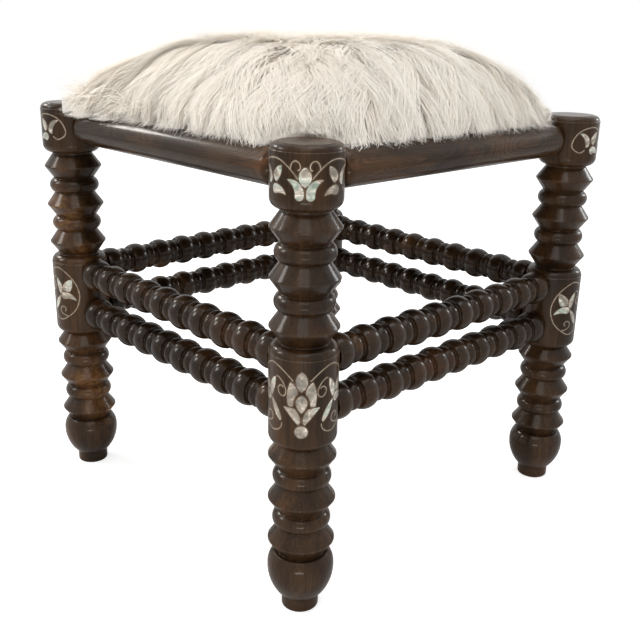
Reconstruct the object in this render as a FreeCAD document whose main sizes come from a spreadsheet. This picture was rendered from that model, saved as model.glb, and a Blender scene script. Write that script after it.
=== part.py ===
import FreeCAD, Part
import math
import os
import Sketcher
from FreeCAD import Placement, Rotation, Vector

# A square stool in turned dark wood. Four legs stand at the corners. Round rails join their caps,
# and two beaded stretchers on each side join their middle blocks. The outward corner of every cap
# and block is inlaid with petals and wire. A padded seat with a long-haired cover sits between
# the rails, on cleats.
#
# Frame: millimetres, X to the right, Y to the back, Z up. The origin is on the floor, midway
# between the legs.

# Counts, and places in rows as numbers of spacings from the middle

DRUM_COUNT = 10
RINGS_PER_GROUP = 3
CLEAT_SCREW_PLACES = (-1, 0, 1)
SEAT_SCREW_PLACES = (-0.5, 0.5)
STAPLE_PLACES = (-4, -3, -2, -1, 0, 1, 2, 3, 4)
DUST_STAPLE_PLACES = (-3.5, -2.5, -1.5, -0.5, 0.5, 1.5, 2.5, 3.5)

# Driving dimensions

LEG_SIZES = {
    "leg_offset": 201.6,
    "foot_radius": 18.0,
    "foot_rounding": 2.0,
    "foot_height": 12.8,
    "ball_radius": 32.2,
    "ball_rise": 34.7,
    "ball_fall": 14.3,
    "ball_lower_curve": 45.0,
    "ball_upper_curve": 20.5,
    "ball_neck_radius": 26.4,
    "ring_radius": 32.0,
    "ring_reach": 14.0,
    "ring_land": 1.2,
    "ring_pitch": 44.6,
    "neck_radius": 22.5,
    "bead_radius": 27.8,
    "bead_curve": 9.2,
    "block_radius": 32.0,
    "block_height": 96.0,
    "block_rounding": 8.0,
    "block_arris": 0.5,
    "block_lower_neck": 0.4,
    "block_upper_neck": 1.4,
    "cap_radius": 32.0,
    "cap_height": 55.6,
    "cap_neck": 2.0,
    "cap_rounding": 5.4,
    "cap_arris": 0.5,
    "cap_under_rounding": 9.0,
}
RAIL_SIZES = {
    "rail_rise": 29.4,
    "rail_radius": 17.5,
    "rail_dome": 9.0,
    "rail_flat": 11.0,
    "rail_tenon_radius": 8.5,
    "stretcher_rise": 26.5,
    "stretcher_spacing": 49.1,
    "drum_radius": 18.5,
    "drum_end_radius": 16.0,
    "drum_curve": 17.45,
    "drum_length": 18.0,
    "drum_chamfer": 1.0,
    "groove_radius": 13.0,
    "small_bead_radius": 15.4,
    "small_bead_length": 10.4,
    "small_bead_curve": 6.9,
    "stretcher_tenon_radius": 8.0,
    "tenon_length": 21.0,
    "shoulder_gap": 0.4,
    "joint_clearance": 0.1,
    "tenon_end_gap": 0.5,
}
INLAY_SIZES = {
    "petal_depth": 1.2,
    "wire_depth": 1.0,
    "wire_width": 0.7,
}
SEAT_SIZES = {
    "board_half_width": 186.0,
    "board_thickness": 12.0,
    "board_rise": 4.6,
    "cap_gap": 1.0,
    "rail_top_gap": 0.5,
    "cap_top_gap": 0.4,
    "cover_backing": 1.8,
    "cover_wall": 3.0,
    "cover_half_width": 200.0,
    "cover_crown": 75.0,
    "turn_in_width": 36.0,
    "soft_gap": 0.3,
    "cleat_length": 300.0,
    "cleat_depth": 18.0,
    "cleat_height": 16.5,
    "dust_cover_thickness": 0.6,
    "dust_cover_overlap": 9.0,
}
FASTENER_SIZES = {
    "screw_head_radius": 3.8,
    "screw_head_depth": 2.6,
    "screw_shank_radius": 2.0,
    "screw_point": 4.0,
    "screw_slot_width": 0.9,
    "screw_slot_depth": 0.9,
    "cleat_screw_length": 30.0,
    "cleat_screw_spacing": 110.0,
    "seat_screw_length": 26.0,
    "seat_screw_spacing": 150.0,
    "staple_width": 11.0,
    "staple_wire": 0.9,
    "staple_leg": 7.5,
    "staple_pitch": 34.0,
    "staple_inset": 23.0,
    "dust_staple_inset": 4.0,
}

# Sizes that follow from the ones above
DERIVED_SIZES = {
    "lower_ring_height": "foot_height + ball_rise + ball_fall + ring_reach",
    "block_bottom": "lower_ring_height + ring_pitch * 2 + ring_reach + block_lower_neck",
    "block_top": "block_bottom + block_height",
    "upper_ring_height": "block_top + block_upper_neck + ring_reach",
    "cap_bottom": "upper_ring_height + ring_pitch * 2 + ring_reach + cap_neck",
    "cap_top": "cap_bottom + cap_height",
    "rail_height": "cap_bottom + rail_rise",
    "rail_body": "( leg_offset - cap_radius - shoulder_gap ) * 2",
    "rail_length": "rail_body + tenon_length * 2",
    "stretcher_low": "block_bottom + stretcher_rise",
    "stretcher_high": "stretcher_low + stretcher_spacing",
    "stretcher_body": "( leg_offset - block_radius - shoulder_gap ) * 2",
    "stretcher_length": "stretcher_body + tenon_length * 2",
    "drum_pitch": "( stretcher_body - drum_length ) / %d" % (DRUM_COUNT - 1),
    "board_bottom": "rail_height + board_rise",
    "board_top": "board_bottom + board_thickness",
    "seat_base": "rail_height + rail_radius + rail_top_gap",
    "skirt_half_width": "board_half_width + soft_gap + cover_backing",
    "skirt_bottom": "board_bottom - soft_gap - cover_backing",
    "opening_half_width": "skirt_half_width - turn_in_width",
    "cleat_top": "skirt_bottom - soft_gap",
    "cleat_bottom": "cleat_top - cleat_height",
    "dust_cover_half_width": "opening_half_width + dust_cover_overlap",
    "dust_cover_top": "skirt_bottom - soft_gap",
    "dust_cover_bottom": "dust_cover_top - dust_cover_thickness",
}

# The first leg's outward corner points between the right and the front, so its turn about Z is
# minus an eighth of a circle. Inlay is first cut as blocks that reach from inside to outside the
# wood's face, by these shares of its radius.
CORNER_DIRECTION = -45
INLAY_START_SHARE = 0.9
INLAY_END_SHARE = 1.1

# Points of a wire's long edges between each two points of its drawing
WIRE_STEPS = 4

# Corners are named as seen from the front, and each corner turns the first leg by a quarter more.
# The nearest side to each turn is named by the same count.
CORNERS = (
    ("front_right", 0),
    ("back_right", 90),
    ("back_left", 180),
    ("front_left", 270),
)
SIDES = (
    ("front", 0),
    ("right", 90),
    ("back", 180),
    ("left", 270),
)

# Inlay drawings. Each point is (share of a quarter turn from the outward corner, share of the
# height of the cap or block). A petal's points alternate: a corner, then a point that the arc to
# the next corner passes through. A wire is a smooth curve through its points. One half is drawn,
# and the other mirrors it.

CAP_MIDDLE_PETAL_SHARES = ((0.0, 0.691), (0.105, 0.549), (0.0, 0.4), (-0.105, 0.549))
CAP_SIDE_PETAL_SHARES = (
    ((-0.31, 0.505), (-0.185, 0.378), (-0.165, 0.258), (-0.09, 0.203), (-0.02, 0.274),
     (-0.045, 0.4), (-0.13, 0.483), (-0.225, 0.51)),
    ((-0.42, 0.702), (-0.52, 0.664), (-0.6, 0.592), (-0.6, 0.505), (-0.53, 0.455),
     (-0.445, 0.549)),
    ((-0.93, 0.68), (-0.76, 0.653), (-0.66, 0.516), (-0.68, 0.439), (-0.755, 0.411),
     (-0.8, 0.57)),
    ((-0.33, 0.274), (-0.42, 0.384), (-0.55, 0.422), (-0.635, 0.351), (-0.57, 0.274),
     (-0.45, 0.296)),
)
CAP_WIRE_SHARES = (
    ((-0.245, 0.658), (-0.235, 0.724), (-0.2, 0.768), (-0.16, 0.781), (-0.12, 0.768),
     (-0.09, 0.735), (-0.08, 0.691), (-0.095, 0.655), (-0.125, 0.648)),
    ((-0.12, 0.516), (-0.25, 0.653), (-0.42, 0.766), (-0.6, 0.798), (-0.8, 0.768),
     (-0.97, 0.673), (-1.07, 0.505), (-1.05, 0.384), (-0.93, 0.313), (-0.85, 0.313),
     (-0.775, 0.362)),
)
BLOCK_MIDDLE_PETAL_SHARES = (
    ((0.0, 0.82), (0.105, 0.725), (0.0, 0.625), (-0.105, 0.725)),
    ((0.0, 0.59), (0.075, 0.56), (0.1, 0.5), (0.065, 0.455), (0.0, 0.415), (-0.065, 0.455),
     (-0.1, 0.5), (-0.075, 0.56)),
    ((0.0, 0.286), (0.116, 0.225), (0.0, 0.164), (-0.116, 0.225)),
)
BLOCK_SIDE_PETAL_SHARES = (
    ((-0.2, 0.72), (-0.11, 0.675), (-0.075, 0.605), (-0.13, 0.56), (-0.155, 0.485), (-0.2, 0.475),
     (-0.245, 0.485), (-0.265, 0.6)),
    ((-0.335, 0.462), (-0.22, 0.463), (-0.125, 0.455), (-0.06, 0.41), (-0.025, 0.345),
     (-0.03, 0.315), (-0.06, 0.295), (-0.175, 0.365)),
    ((-0.965, 0.73), (-0.85, 0.705), (-0.74, 0.65), (-0.72, 0.61), (-0.74, 0.577),
     (-0.83, 0.572), (-0.91, 0.575), (-0.965, 0.645)),
    ((-0.53, 0.735), (-0.645, 0.68), (-0.7, 0.62), (-0.69, 0.57), (-0.63, 0.535),
     (-0.555, 0.62)),
    ((-1.05, 0.458), (-0.93, 0.54), (-0.76, 0.56), (-0.68, 0.545), (-0.665, 0.505),
     (-0.7, 0.48), (-0.77, 0.476), (-0.9, 0.483)),
    ((-0.635, 0.515), (-0.49, 0.45), (-0.39, 0.35), (-0.385, 0.33), (-0.41, 0.31),
     (-0.56, 0.4)),
)
BLOCK_WIRE_SHARES = (
    ((-0.155, 0.73), (-0.29, 0.795), (-0.44, 0.845), (-0.62, 0.865), (-0.8, 0.825),
     (-0.96, 0.75), (-1.08, 0.645), (-1.13, 0.52), (-1.08, 0.4), (-0.98, 0.315), (-0.82, 0.245),
     (-0.66, 0.2), (-0.52, 0.2), (-0.41, 0.235), (-0.375, 0.295)),
    ((-0.5, 0.745), (-0.45, 0.741), (-0.4, 0.725), (-0.35, 0.698), (-0.31, 0.66),
     (-0.288, 0.615), (-0.315, 0.577), (-0.365, 0.565), (-0.435, 0.585), (-0.46, 0.635),
     (-0.41, 0.665), (-0.37, 0.665), (-0.345, 0.65)),
    ((-0.82, 0.258), (-0.71, 0.265), (-0.61, 0.3), (-0.62, 0.35), (-0.7, 0.372),
     (-0.765, 0.35), (-0.73, 0.31)),
)

# Sections of the padded form, from its lowest to its highest: (share of its height, share of its
# half width, share of that half width that is corner rounding).
PADDED_FORM_SHARES = (
    (0.0, 0.955, 0.4),
    (0.1, 0.99, 0.4),
    (0.22, 1.0, 0.4),
    (0.38, 0.965, 0.41),
    (0.55, 0.905, 0.42),
    (0.71, 0.82, 0.44),
    (0.85, 0.7, 0.47),
    (0.95, 0.53, 0.52),
    (1.0, 0.3, 0.6),
)

# Radius of the notches round the caps, in the cover and in what it holds
COVER_NOTCH = "cap_radius + cap_gap"
BOARD_NOTCH = COVER_NOTCH + " + cover_backing + soft_gap"

doc = FreeCAD.newDocument("kursi_stool")
sheet = doc.addObject("Spreadsheet::Sheet", "Sizes")
size = {}


def fill_sheet():
    """Write every size into the sheet, one row each, with its name as alias."""
    row = 1
    for group in (LEG_SIZES, RAIL_SIZES, INLAY_SIZES, SEAT_SIZES, FASTENER_SIZES, DERIVED_SIZES):
        for name, value in group.items():
            sheet.set("A%d" % row, name)
            sheet.set("B%d" % row, "=" + value if group is DERIVED_SIZES else str(value))
            sheet.setAlias("B%d" % row, name)
            row += 1
            size[name] = 0.0
    doc.recompute()
    for name in size:
        size[name] = float(getattr(sheet, name))


def named(text):
    """Turn words such as "ring_radius - ring_land" into an expression on the sheet."""
    words = []
    for word in text.split():
        words.append("Sizes." + word if word in size else word)
    return " ".join(words)


def value_of(text):
    """The number that such words stand for."""
    return float(sheet.evalExpression(named(text)))


fill_sheet()


# Outlines and bodies

def origin_plane(body, role):
    """One of a body's own origin planes."""
    for feature in body.Origin.OriginFeatures:
        if feature.Role == role:
            return feature
    raise ValueError("no plane " + role)


def arc_between(start, end, radius, side):
    """An arc under a half turn from start to end. Side 1 bulges to the right of the way there.
    The second result is true where the arc's own direction runs from end to start."""
    chord = end - start
    rise = math.sqrt(max(radius * radius - chord.Length * chord.Length / 4, 0))
    across = Vector(chord.y, -chord.x, 0).normalize()
    centre = (start + end) / 2 - across * rise * side
    circle = Part.Circle(centre, Vector(0, 0, 1), radius)
    first = math.atan2(start.y - centre.y, start.x - centre.x)
    last = math.atan2(end.y - centre.y, end.x - centre.x)
    if side > 0:
        return Part.ArcOfCircle(circle, first, last), False
    return Part.ArcOfCircle(circle, last, first), True


def closed_sketch(body, name, role, outline):
    """A closed sketch on one of the body's planes. Each step of the outline is a point, given as
    words, and a step that is reached by an arc adds the arc's radius and side."""
    sketch = body.newObject("Sketcher::SketchObject", name)
    sketch.AttachmentSupport = [(origin_plane(body, role), "")]
    sketch.MapMode = "FlatFace"
    points = [Vector(value_of(step[0]), value_of(step[1]), 0) for step in outline]
    count = len(outline)
    ends = []
    rules = []
    bindings = []
    for index in range(count):
        step = outline[(index + 1) % count]
        start, end = points[index], points[(index + 1) % count]
        if len(step) > 2:
            curve, backwards = arc_between(start, end, value_of(step[2]), step[3])
            edge = sketch.addGeometry(curve, False)
            ends.append((edge, 2, 1) if backwards else (edge, 1, 2))
            bindings.append((len(rules), step[2]))
            rules.append(Sketcher.Constraint("Radius", edge, value_of(step[2])))
        else:
            edge = sketch.addGeometry(Part.LineSegment(start, end), False)
            ends.append((edge, 1, 2))
    for index in range(count):
        edge, start, finish = ends[index]
        following, next_start, _ = ends[(index + 1) % count]
        rules.append(Sketcher.Constraint("Coincident", edge, finish, following, next_start))
        point = points[index]
        if outline[index][0] == "0":
            rules.append(Sketcher.Constraint("PointOnObject", edge, start, -2))
        else:
            bindings.append((len(rules), outline[index][0]))
            rules.append(Sketcher.Constraint("DistanceX", -1, 1, edge, start, point.x))
        if outline[index][1] == "0":
            rules.append(Sketcher.Constraint("PointOnObject", edge, start, -1))
        else:
            bindings.append((len(rules), outline[index][1]))
            rules.append(Sketcher.Constraint("DistanceY", -1, 1, edge, start, point.y))
    sketch.addConstraint(rules)
    for index, text in bindings:
        sketch.setExpression("Constraints[%d]" % index, named(text))
    return sketch


def turned_body(name, outline):
    """A body turned about Z, from an outline of (radius, height) steps."""
    body = doc.addObject("PartDesign::Body", name)
    sketch = closed_sketch(body, name + "_outline", "XZ_Plane", outline)
    turning = body.newObject("PartDesign::Revolution", name + "_turning")
    turning.Profile = sketch
    turning.ReferenceAxis = (sketch, ["V_Axis"])
    turning.Angle = 360
    body.Tip = turning
    return body


# Placing and combining

def opposite(text):
    """Words for the negative of what the text stands for."""
    return "0" if text == "0" else "0 - ( " + text + " )"


def turned(x, y, turn):
    """Words for x and y after whole quarter turns about Z."""
    for _ in range(turn // 90):
        x, y = opposite(y), x
    return x, y


def place(piece, x, y, z, rotation):
    """Place a piece and bind its coordinates to the sheet."""
    piece.Placement = Placement(Vector(value_of(x), value_of(y), value_of(z)), rotation)
    for axis, text in zip("xyz", (x, y, z)):
        if text != "0":
            piece.setExpression("Placement.Base." + axis, named(text))
    return piece


def about_z(turn):
    return Rotation(Vector(0, 0, 1), turn)


def lying(turn):
    """Lays a piece that stands along Z in the direction of a turn about Z."""
    return about_z(turn).multiply(Rotation(Vector(0, 1, 0), 90))


def cylinder(name, radius, height, x="0", y="0", z="0", rotation=Rotation()):
    piece = doc.addObject("Part::Cylinder", name)
    piece.setExpression("Radius", named(radius))
    piece.setExpression("Height", named(height))
    return place(piece, x, y, z, rotation)


def box(name, length, width, height, x="0", y="0", z="0"):
    piece = doc.addObject("Part::Box", name)
    piece.setExpression("Length", named(length))
    piece.setExpression("Width", named(width))
    piece.setExpression("Height", named(height))
    return place(piece, x, y, z, Rotation())


def square_slab(name, half_width, bottom, top):
    """A square slab centred on Z."""
    across = "( %s ) * 2" % half_width
    corner = opposite(half_width)
    return box(name, across, across, "( %s ) - ( %s )" % (top, bottom), corner, corner, bottom)


def group(name, pieces):
    """Several pieces that don't touch, kept as one object."""
    whole = doc.addObject("Part::Compound", name)
    whole.Links = pieces
    return whole


def copy_of(piece, name, x="0", y="0", z="0", rotation=Rotation()):
    return place(group(name, [piece]), x, y, z, rotation)


def cut(name, base, tool):
    piece = doc.addObject("Part::Cut", name)
    piece.Base = base
    piece.Tool = tool
    piece.Refine = False
    return piece


def fuse(name, pieces):
    piece = doc.addObject("Part::MultiFuse", name)
    piece.Shapes = pieces
    return piece


def frozen(name, shape):
    """A drawn shape that no parametric object can give."""
    piece = doc.addObject("Part::Feature", name)
    piece.Shape = shape
    return piece


def at_side(piece, name, turn, z="0"):
    """A copy of a piece drawn on the middle of a side, X along the side and Y inwards."""
    x, y = turned("0", "0 - leg_offset", turn)
    return copy_of(piece, name, x, y, z, about_z(turn))


def at_corner(piece, name, turn):
    """A copy of a piece drawn round a leg's axis."""
    x, y = turned("leg_offset", "0 - leg_offset", turn)
    return copy_of(piece, name, x, y, "0", about_z(turn))


# Inlay

def leg_point(turn_share, height_share, middle_share, radius, bottom, height):
    """A point of the drawing, on the plane that touches the wood at the middle share."""
    away = math.radians((turn_share - middle_share) * 90)
    return Vector(radius * math.sin(away), bottom + height_share * height, 0)


def wood_shell(radius, depth, bottom, height, proud):
    """The outer skin of the turned wood, from the depth of the inlay out to its face."""
    floor = Vector(0, 0, bottom)
    outer = Part.makeCylinder(radius + proud, height, floor)
    return outer.cut(Part.makeCylinder(radius - depth, height, floor))


def stand_up(face, middle_share, radius):
    """Thicken a flat face, drawn on the touching plane, through the skin of the wood."""
    outward = CORNER_DIRECTION + middle_share * 90
    stand = Rotation(Vector(0, 0, 1), outward + 90).multiply(Rotation(Vector(1, 0, 0), 90))
    direction = Rotation(Vector(0, 0, 1), outward).multVec(Vector(1, 0, 0))
    face.Placement = Placement(direction * radius * INLAY_START_SHARE, stand)
    return face.extrude(direction * radius * (INLAY_END_SHARE - INLAY_START_SHARE))


def petal_prism(shares, radius, bottom, height):
    """One petal, with an arc from corner to corner through the point between them."""
    turns = [share[0] for share in shares]
    middle = (min(turns) + max(turns)) / 2
    points = [leg_point(share[0], share[1], middle, radius, bottom, height) for share in shares]
    edges = []
    for index in range(0, len(points), 2):
        end = points[(index + 2) % len(points)]
        edges.append(Part.Arc(points[index], points[index + 1], end).toShape())
    return stand_up(Part.Face(Part.Wire(edges)), middle, radius)


def smooth_curve(points):
    """A curve through the points, one unit of its parameter apart."""
    curve = Part.BSplineCurve()
    curve.interpolate(Points=points, Parameters=[float(index) for index in range(len(points))])
    return curve


def spanning_face(first, second):
    """The face between two smooth curves with the same parameters."""
    surface = Part.BSplineSurface()
    surface.buildFromPolesMultsKnots(
        [first.getPoles(), second.getPoles()], [2, 2], first.getMultiplicities(),
        [0.0, 1.0], first.getKnots(), False, False, 1, first.Degree)
    return surface.toShape()


def wire_ribbon(shares, radius, bottom, height, width, depth, proud):
    """One scroll of wire, a flat ribbon on edge in the skin of the wood. It is drawn on the
    wood's face unrolled, and its four long edges are rolled back round the leg."""
    drawn = smooth_curve([Vector(radius * math.radians(turn * 90), bottom + share * height, 0)
                          for turn, share in shares])
    edges = [[], [], [], []]
    places = ((1, radius + proud), (-1, radius + proud), (-1, radius - depth), (1, radius - depth))
    count = (len(shares) - 1) * WIRE_STEPS
    for step in range(count + 1):
        parameter = drawn.LastParameter * step / count
        middle = drawn.value(parameter)
        along = drawn.tangent(parameter)[0]
        for edge, (side, reach) in zip(edges, places):
            point = middle + Vector(-along.y, along.x, 0) * side * width / 2
            turn = point.x / radius + math.radians(CORNER_DIRECTION)
            edge.append(Vector(reach * math.cos(turn), reach * math.sin(turn), point.y))
    curves = [smooth_curve(edge) for edge in edges]
    faces = [spanning_face(curves[index - 1], curves[index]) for index in range(len(curves))]
    for end in (0, -1):
        corners = [edge[end] for edge in edges]
        faces.append(Part.makeRuledSurface(Part.makeLine(corners[0], corners[1]),
                                           Part.makeLine(corners[3], corners[2])))
    skin = Part.Compound(faces)
    skin.sewShape()
    solid = Part.Solid(skin.Shells[0])
    if solid.Volume < 0:
        solid.reverse()
    return solid


def mirrored(shares):
    return tuple((-turn, height) for turn, height in shares)


def both_sides(runs):
    return list(runs) + [mirrored(run) for run in runs]


def petal_shapes(prisms, radius, bottom, height, proud):
    shell = wood_shell(radius, size["petal_depth"], bottom, height, proud)
    return [prism.common(shell) for prism in prisms]


def inlay(name, petals, wires, radius, bottom, height):
    """The petals and wires of one group, and the tools that make the room for each."""
    prisms = [petal_prism(shares, radius, bottom, height) for shares in petals]
    width, depth = size["wire_width"], size["wire_depth"]
    sets = []
    for suffix, proud in (("set", 0), ("room", depth)):
        pearl = petal_shapes(prisms, radius, bottom, height, proud)
        wire = [wire_ribbon(shares, radius, bottom, height, width, depth, proud)
                for shares in wires]
        sets.append(frozen("%s_petal_%s" % (name, suffix), Part.makeCompound(pearl)))
        sets.append(frozen("%s_wire_%s" % (name, suffix), Part.makeCompound(wire)))
    return sets


# Turned outlines

def ring_steps(middle):
    """A sharp ring: a lower cone, a narrow land and an upper cone."""
    return [
        ("neck_radius", middle + " - ring_reach"),
        ("ring_radius", middle + " - ring_land / 2"),
        ("ring_radius", middle + " + ring_land / 2"),
        ("neck_radius", middle + " + ring_reach"),
    ]


def ring_group_steps(lowest):
    """Three rings with a full bead between each two."""
    steps = ring_steps(lowest)
    for index in range(1, RINGS_PER_GROUP):
        middle = "%s + ring_pitch * %d" % (lowest, index)
        ring = ring_steps(middle)
        steps.append(("bead_radius", middle + " - ring_pitch / 2", "bead_curve", 1))
        steps.append(ring[0] + ("bead_curve", 1))
        steps.extend(ring[1:])
    return steps


def leg_outline():
    """From the middle of the foot's underside round to the middle of the cap's top."""
    steps = [
        ("0", "0"),
        ("foot_radius - foot_rounding", "0"),
        ("foot_radius", "foot_rounding", "foot_rounding", 1),
        ("foot_radius", "foot_height"),
        ("ball_radius", "foot_height + ball_rise", "ball_lower_curve", 1),
        ("ball_neck_radius", "foot_height + ball_rise + ball_fall", "ball_upper_curve", 1),
    ]
    steps.extend(ring_group_steps("lower_ring_height"))
    steps.extend([
        ("neck_radius", "block_bottom"),
        ("block_radius - block_rounding", "block_bottom"),
        ("block_radius", "block_bottom + block_rounding", "block_rounding", 1),
        ("block_radius", "block_top - block_rounding"),
        ("block_radius - block_arris", "block_top - block_rounding"),
        ("block_radius - block_arris - block_rounding", "block_top", "block_rounding", 1),
        ("neck_radius", "block_top"),
    ])
    steps.extend(ring_group_steps("upper_ring_height"))
    shoulder = "cap_top - cap_arris"
    steps.extend([
        ("neck_radius", "cap_bottom"),
        ("cap_radius - cap_under_rounding", "cap_bottom"),
        ("cap_radius", "cap_bottom + cap_under_rounding", "cap_under_rounding", 1),
        ("cap_radius", shoulder + " - cap_rounding"),
        ("cap_radius - cap_arris", shoulder + " - cap_rounding"),
        ("cap_radius - cap_arris - cap_rounding", shoulder, "cap_rounding", 1),
        ("cap_radius - cap_arris * 2 - cap_rounding", shoulder),
        ("cap_radius - cap_arris * 2 - cap_rounding", "cap_top"),
        ("0", "cap_top"),
    ])
    return steps


def rail_outline():
    """A plain round bar with domed ends and a tenon at each end."""
    far = "tenon_length + rail_body"
    return [
        ("0", "0"),
        ("rail_tenon_radius", "0"),
        ("rail_tenon_radius", "tenon_length"),
        ("rail_radius", "tenon_length + rail_dome", "rail_dome", 1),
        ("rail_radius", far + " - rail_dome"),
        ("rail_tenon_radius", far, "rail_dome", 1),
        ("rail_tenon_radius", far + " + tenon_length"),
        ("0", far + " + tenon_length"),
    ]


def stretcher_outline():
    """Ten barrel-shaped drums, with a small bead in the groove between each two, and a tenon at
    each end."""
    far = "tenon_length + stretcher_body"
    steps = [
        ("0", "0"),
        ("stretcher_tenon_radius", "0"),
        ("stretcher_tenon_radius", "tenon_length"),
        ("drum_end_radius", "tenon_length"),
    ]
    for index in range(DRUM_COUNT):
        drum = "tenon_length + drum_pitch * %d" % index
        bead = "%s + ( drum_pitch + drum_length ) / 2" % drum
        steps.extend([
            ("drum_radius", drum + " + drum_length / 2", "drum_curve", 1),
            ("drum_end_radius", drum + " + drum_length", "drum_curve", 1),
        ])
        if index < DRUM_COUNT - 1:
            steps.extend([
                ("groove_radius", drum + " + drum_length + drum_chamfer"),
                ("groove_radius", bead + " - small_bead_length / 2"),
                ("small_bead_radius", bead, "small_bead_curve", 1),
                ("groove_radius", bead + " + small_bead_length / 2", "small_bead_curve", 1),
                ("groove_radius", drum + " + drum_pitch - drum_chamfer"),
                ("drum_end_radius", drum + " + drum_pitch"),
            ])
    steps.extend([
        ("stretcher_tenon_radius", far),
        ("stretcher_tenon_radius", far + " + tenon_length"),
        ("0", far + " + tenon_length"),
    ])
    return steps


# Pieces of the stool. A repeated piece is drawn once, about its own axis.

def mortises(name, radius, height):
    """Two sockets in a leg, one for each side that meets there."""
    wide = radius + " + joint_clearance"
    floor = "block_radius + shoulder_gap - tenon_length - tenon_end_gap"
    sockets = []
    for turn in (90, 180):
        x, y = turned(floor, "0", turn)
        sockets.append(cylinder("%s_%d" % (name, turn), wide, "tenon_length + block_radius",
                                x, y, height, lying(turn)))
    return sockets


def make_leg():
    """The turned leg with its mortises and the room for its inlay, and the inlay itself."""
    turning = turned_body("leg_turning", leg_outline())
    sockets = mortises("rail_mortise", "rail_tenon_radius", "rail_height")
    sockets.extend(mortises("low_mortise", "stretcher_tenon_radius", "stretcher_low"))
    sockets.extend(mortises("high_mortise", "stretcher_tenon_radius", "stretcher_high"))
    cap = inlay("cap", [CAP_MIDDLE_PETAL_SHARES] + both_sides(CAP_SIDE_PETAL_SHARES),
                both_sides(CAP_WIRE_SHARES),
                size["cap_radius"], size["cap_bottom"], size["cap_height"])
    block = inlay("block", list(BLOCK_MIDDLE_PETAL_SHARES) + both_sides(BLOCK_SIDE_PETAL_SHARES),
                  both_sides(BLOCK_WIRE_SHARES),
                  size["block_radius"], size["block_bottom"], size["block_height"])
    leg = cut("leg_jointed", turning, group("leg_sockets", sockets))
    for index, room in enumerate(cap[2:] + block[2:]):
        leg = cut("leg_inlaid_%d" % index, leg, room)
    return leg, cap, block


def make_rail(screws):
    """The rail along X, planed flat on its inner side and drilled for the cleat's screws."""
    turning = turned_body("rail_turning", rail_outline())
    place(turning, "0 - rail_length / 2", "0", "0", lying(0))
    planing = box("rail_planing", "rail_body", "rail_radius", "rail_radius * 2",
                  "0 - rail_body / 2", "rail_flat", "0 - rail_radius")
    planed = cut("rail_planed", turning, planing)
    lowered = copy_of(screws, "rail_screw_holes", z="0 - rail_height")
    return cut("rail_master", planed, lowered)


def make_stretcher():
    turning = turned_body("stretcher_master", stretcher_outline())
    return place(turning, "0 - stretcher_length / 2", "0", "0", lying(0))


def make_screw(name, length):
    """A countersunk screw with its head's face at the origin and its point below."""
    shank_top = "0 - screw_head_depth"
    shank = "%s - screw_head_depth - screw_point" % length
    head = doc.addObject("Part::Cone", name + "_head")
    head.setExpression("Radius1", named("screw_shank_radius"))
    head.setExpression("Radius2", named("screw_head_radius"))
    head.setExpression("Height", named("screw_head_depth"))
    place(head, "0", "0", shank_top, Rotation())
    body = cylinder(name + "_shank", "screw_shank_radius", shank,
                    z="%s - ( %s )" % (shank_top, shank))
    point = doc.addObject("Part::Cone", name + "_point")
    point.Radius1 = 0
    point.setExpression("Radius2", named("screw_shank_radius"))
    point.setExpression("Height", named("screw_point"))
    place(point, "0", "0", opposite(length), Rotation())
    slot = box(name + "_slot", "screw_head_radius * 2", "screw_slot_width", "screw_slot_depth",
               "0 - screw_head_radius", "0 - screw_slot_width / 2", "0 - screw_slot_depth")
    return cut(name, fuse(name + "_blank", [head, body, point]), slot)


def make_staple(name, grow):
    """A staple under the board: its crown along X, its two legs up. The grow is for its room."""
    wire = "( staple_wire + %s * 2 )" % grow
    width = "( staple_width + %s * 2 )" % grow
    crown = box(name + "_crown", width, wire, wire,
                "0 - %s / 2" % width, "0 - %s / 2" % wire, "0 - %s" % wire)
    legs = []
    for side, start in (("left", "0 - %s / 2" % width), ("right", "%s / 2 - %s" % (width, wire))):
        legs.append(box("%s_%s_leg" % (name, side), wire, wire, "staple_leg + %s" % wire,
                        start, "0 - %s / 2" % wire, "0 - %s" % wire))
    return fuse(name, [crown] + legs)


def row(piece, name, places, pitch, y, z, rotation):
    """Copies of a piece in a row along a side."""
    copies = []
    for index, share in enumerate(places):
        x = "%s * %s" % (pitch, share) if share else "0"
        copies.append(copy_of(piece, "%s_%d" % (name, index), x, y, z, rotation))
    return group(name, copies)


def make_padded_form(name, base, crown, half_width):
    """The crowned form of a pad, through rounded squares from its base up to its crown."""
    body = doc.addObject("PartDesign::Body", name)
    sections = []
    for index, (height_share, width_share, corner_share) in enumerate(PADDED_FORM_SHARES):
        half = "( %s ) * %s" % (half_width, width_share)
        corner = "( %s ) * %s" % (half_width, round(width_share * corner_share, 4))
        reach = "%s - %s" % (half, corner)
        outline = []
        for turn in (0, 90, 180, 270):
            outline.append(turned(half, opposite(reach), turn) + (corner, 1))
            outline.append(turned(half, reach, turn))
        sketch = closed_sketch(body, "%s_section_%d" % (name, index), "XY_Plane", outline)
        height = "%s + ( %s - ( %s ) ) * %s" % (base, crown, base, height_share)
        sketch.setExpression("AttachmentOffset.Base.z", named(height))
        sections.append(sketch)
    loft = body.newObject("PartDesign::AdditiveLoft", name + "_loft")
    loft.Profile = sections[0]
    loft.Sections = sections[1:]
    loft.Ruled = False
    body.Tip = loft
    return body


def cap_clearances(name, radius, bottom, top):
    """The room that a piece of the seat leaves round the four caps."""
    pieces = []
    for corner, turn in CORNERS:
        x, y = turned("leg_offset", "0 - leg_offset", turn)
        pieces.append(cylinder("%s_%s" % (name, corner), radius, "%s - %s" % (top, bottom),
                               x, y, bottom))
    return group(name, pieces)


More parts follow.
